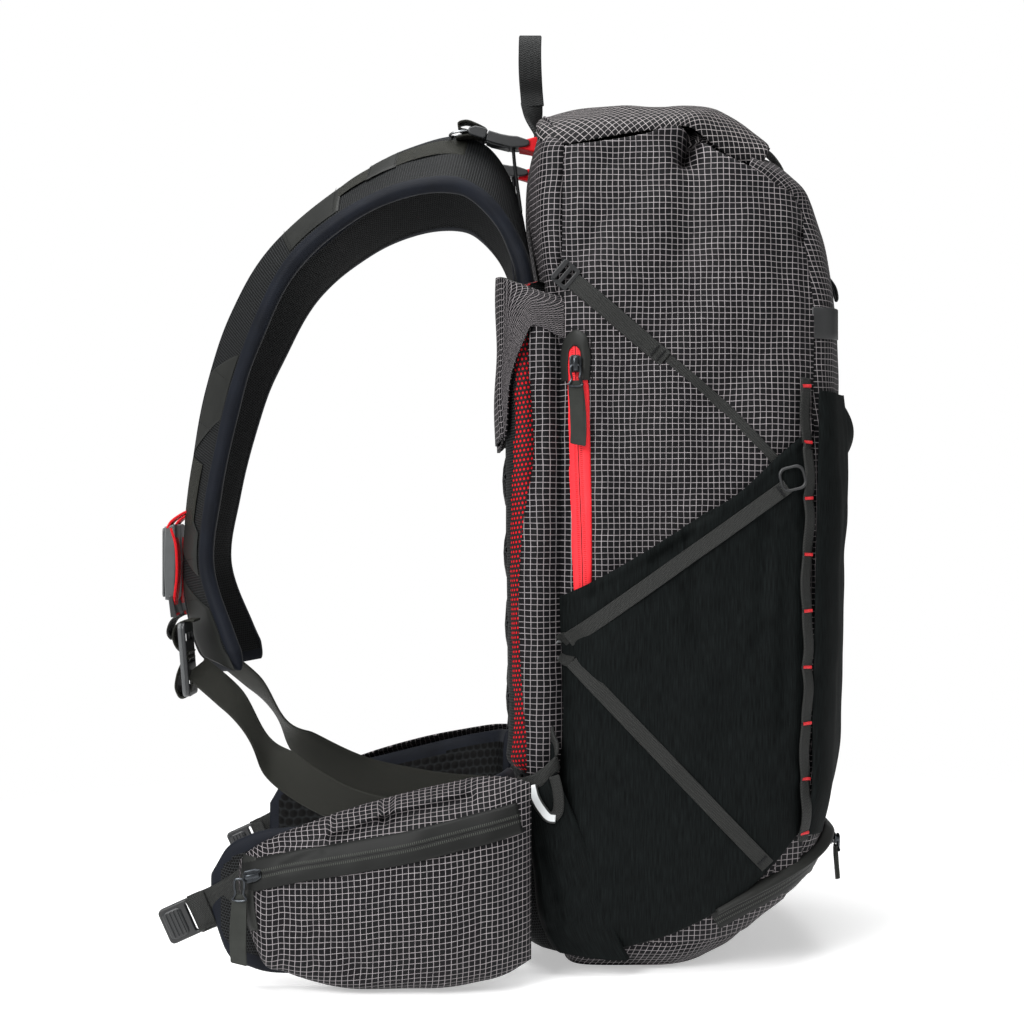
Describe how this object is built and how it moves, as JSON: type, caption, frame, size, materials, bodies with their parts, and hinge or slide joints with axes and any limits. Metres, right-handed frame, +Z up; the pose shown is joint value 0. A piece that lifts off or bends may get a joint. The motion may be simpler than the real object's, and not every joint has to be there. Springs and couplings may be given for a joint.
{
  "type": "roll-top touring backpack",
  "caption": "Roll-top touring backpack with stretch pockets, side zip, compression webbing, a joined chest harness and a winged hip belt with zipped pockets.",
  "frame": {"origin": "on the ground under the middle of the sack's flat base", "axes": "+Z up, -Y away from the wearer, +X to the wearer's right"},
  "size_m": [0.4084, 0.556, 0.739],
  "materials": {
    "ripstop": "matte",
    "stretch_cloth": "matte",
    "spacer_mesh": "matte",
    "webbing": "matte",
    "red_webbing": "matte",
    "red_zip": "matte",
    "black_zip": "matte",
    "coated_patch": "satin",
    "strap_cloth": "matte",
    "dark_plastic": "satin",
    "zip_metal": "satin",
    "frame_plastic": "matte",
    "stay_aluminium": "satin",
    "elastic_cord": "matte",
    "label_cloth": "matte"
  },
  "bodies": {
    "root": {"back_mesh": "spacer_mesh", "back_pad": "spacer_mesh", "base_zip_tape": "black_zip", "blank_label": "label_cloth", "chest_clasp_socket": "dark_plastic", "chest_webbing_left": "red_webbing", "chest_webbing_right": "red_webbing", "compression_hardware": "dark_plastic", "compression_straps": "webbing", "daisy_chains": "webbing", "frame_sheet": "frame_plastic", "frame_stays": "stay_aluminium", "front_pocket": "stretch_cloth", "grab_loop_foot": "webbing", "harness_sleeves": "ripstop", "lifter_buckles": "dark_plastic", "lifter_cords": "elastic_cord", "lifter_webbing": "red_webbing", "lower_webbings": "webbing", "lumbar_pad": "spacer_mesh", "sack_back_panel": "ripstop", "sack_base": "ripstop", "sack_front_panel": "ripstop", "sack_side_left": "ripstop", "sack_side_right": "ripstop", "shoulder_strap_left": "strap_cloth", "shoulder_strap_right": "strap_cloth", "side_pocket_left": "stretch_cloth", "side_pocket_right": "stretch_cloth", "side_zip_garage": "coated_patch", "side_zip_tape": "red_zip", "strap_adjusters": "dark_plastic", "strap_ladders": "webbing", "top_catch": "dark_plastic", "wand_pockets": "stretch_cloth", "webbing_tabs": "webbing"},
    "roll_top": {"roll_top": "ripstop", "top_strap": "webbing", "top_hook": "dark_plastic"},
    "side_zip_slider": {"side_zip_slider": "zip_metal"},
    "side_zip_pull": {"side_zip_pull": "coated_patch"},
    "base_zip_slider": {"base_zip_slider": "zip_metal"},
    "base_zip_pull": {"base_zip_pull": "coated_patch"},
    "grab_loop": {"grab_loop": "webbing"},
    "keeper_cord": {"keeper_cord": "elastic_cord"},
    "chest_clasp_tongue": {"chest_clasp_tongue": "dark_plastic"},
    "hip_wing_left": {"hip_wing_left": "spacer_mesh", "hip_pocket_left": "ripstop", "hip_zip_left": "black_zip", "waist_webbing_left": "webbing"},
    "hip_slider_left": {"hip_slider_left": "zip_metal"},
    "hip_pull_left": {"hip_pull_left": "coated_patch"},
    "waist_buckle_left": {"waist_buckle_left": "dark_plastic"},
    "hip_wing_right": {"hip_wing_right": "spacer_mesh", "hip_pocket_right": "ripstop", "hip_zip_right": "black_zip", "waist_webbing_right": "webbing"},
    "hip_slider_right": {"hip_slider_right": "zip_metal"},
    "hip_pull_right": {"hip_pull_right": "coated_patch"},
    "waist_buckle_right": {"waist_buckle_right": "dark_plastic"}
  },
  "joints": [
    {"name": "roll_top_lift", "type": "slide", "parent": "root", "child": "roll_top", "axis": [0, 0, 1], "range_m": [0, 0.08]},
    {"name": "side_zip_slide", "type": "slide", "parent": "root", "child": "side_zip_slider", "axis": [0, 0, -1], "range_m": [0, 0.105]},
    {"name": "side_zip_pull_swing", "type": "hinge", "parent": "side_zip_slider", "child": "side_zip_pull", "pos_m": [-0.1483, 0.049, 0.455], "axis": [0, 1, 0], "range_deg": [0, 120]},
    {"name": "base_zip_slide", "type": "slide", "parent": "root", "child": "base_zip_slider", "axis": [1, 0, 0], "range_m": [0, 0.12]},
    {"name": "base_zip_pull_swing", "type": "hinge", "parent": "base_zip_slider", "child": "base_zip_pull", "pos_m": [-0.062, -0.1575, 0.091], "axis": [-1, 0, 0], "range_deg": [0, 90]},
    {"name": "grab_loop_fold", "type": "hinge", "parent": "root", "child": "grab_loop", "pos_m": [0, 0.0781, 0.6573], "axis": [-1, 0, 0], "range_deg": [0, 70]},
    {"name": "keeper_cord_swing", "type": "hinge", "parent": "root", "child": "keeper_cord", "pos_m": [0, -0.156, 0.5464], "axis": [-1, 0, 0], "range_deg": [0, 60]},
    {"name": "chest_clasp_release", "type": "slide", "parent": "root", "child": "chest_clasp_tongue", "axis": [1, 0, 0], "range_m": [0, 0.018]},
    {"name": "hip_wing_left_swing", "type": "hinge", "parent": "root", "child": "hip_wing_left", "pos_m": [-0.119, 0.1, 0.08], "axis": [0, 0, 1], "range_deg": [-15, 22]},
    {"name": "hip_zip_left_slide", "type": "slide", "parent": "hip_wing_left", "child": "hip_slider_left", "axis": [-0.1641, -0.9652, 0.2037], "range_m": [0, 0.086]},
    {"name": "hip_pull_left_swing", "type": "hinge", "parent": "hip_slider_left", "child": "hip_pull_left", "pos_m": [-0.19475, 0.28326, 0.08548], "axis": [0.1676, 0.9859, 0], "range_deg": [0, 80]},
    {"name": "waist_buckle_left_swing", "type": "hinge", "parent": "hip_wing_left", "child": "waist_buckle_left", "pos_m": [-0.161, 0.32977, 0.05226], "axis": [0, 0.4104, 0.9119], "range_deg": [-50, 50]},
    {"name": "hip_wing_right_swing", "type": "hinge", "parent": "root", "child": "hip_wing_right", "pos_m": [0.119, 0.1, 0.08], "axis": [0, 0, -1], "range_deg": [-15, 22]},
    {"name": "hip_zip_right_slide", "type": "slide", "parent": "hip_wing_right", "child": "hip_slider_right", "axis": [0.1641, -0.9652, 0.2037], "range_m": [0, 0.086]},
    {"name": "hip_pull_right_swing", "type": "hinge", "parent": "hip_slider_right", "child": "hip_pull_right", "pos_m": [0.19475, 0.28326, 0.08548], "axis": [0.1676, -0.9859, 0], "range_deg": [0, 80]},
    {"name": "waist_buckle_right_swing", "type": "hinge", "parent": "hip_wing_right", "child": "waist_buckle_right", "pos_m": [0.161, 0.32977, 0.05226], "axis": [0, 0.4104, 0.9119], "range_deg": [-50, 50]}
  ]
}
